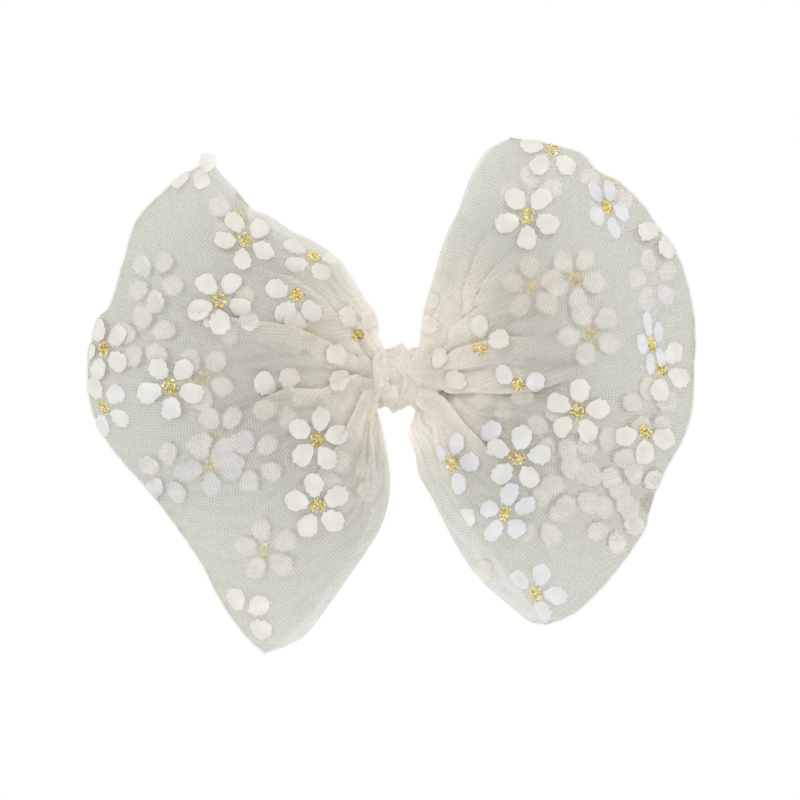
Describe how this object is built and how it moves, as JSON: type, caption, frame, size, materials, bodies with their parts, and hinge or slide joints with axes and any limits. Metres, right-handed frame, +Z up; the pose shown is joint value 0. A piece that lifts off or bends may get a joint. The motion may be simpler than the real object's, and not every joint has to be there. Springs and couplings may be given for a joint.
{
  "type": "hair bow",
  "caption": "Looped hair bow of sheer daisy-printed tulle, gathered at a wrapped knot and fixed to a sprung, ribbon-lined alligator clip.",
  "frame": {"origin": "on the flat back face of the clip's jaw, which lies on the scalp, level with the middle of the knot", "axes": "+X to the right across the bow as seen from in front, +Y into the head out of the jaw's back face, +Z up as worn"},
  "size_m": [0.1591, 0.0333, 0.1357],
  "materials": {
    "tulle": "sheer net with flocked daisies and gold glitter centres",
    "knot_tulle": "the same net folded many times, with flock",
    "thread": "twisted sewing thread",
    "glue": "set hot-melt glue",
    "ribbon": "ribbed grosgrain",
    "clip_steel": "nickel-plated sheet",
    "spring_steel": "bright wire"
  },
  "bodies": {
    "bow_and_lever": {"left_loop_outer": "tulle", "left_loop_inner": "tulle", "right_loop_outer": "tulle", "right_loop_inner": "tulle", "gathered_waist": "knot_tulle", "gathering_thread": "thread", "centre_wrap": "knot_tulle", "wrap_glue": "glue", "bow_glue": "glue", "lever_ribbon": "ribbon", "front_lever": "clip_steel", "hinge_pin": "clip_steel", "torsion_spring": "spring_steel"},
    "jaw": {"back_jaw": "clip_steel"}
  },
  "joints": [
    {"name": "clip_hinge", "type": "hinge", "parent": "bow_and_lever", "child": "jaw", "pos_m": [0.016, -0.0029, 0], "axis": [0, 0, -1], "range_deg": [0, 28], "stiffness_Nm_per_rad": 0.05, "springref_deg": -68.75, "deforming": ["torsion_spring"]}
  ]
}
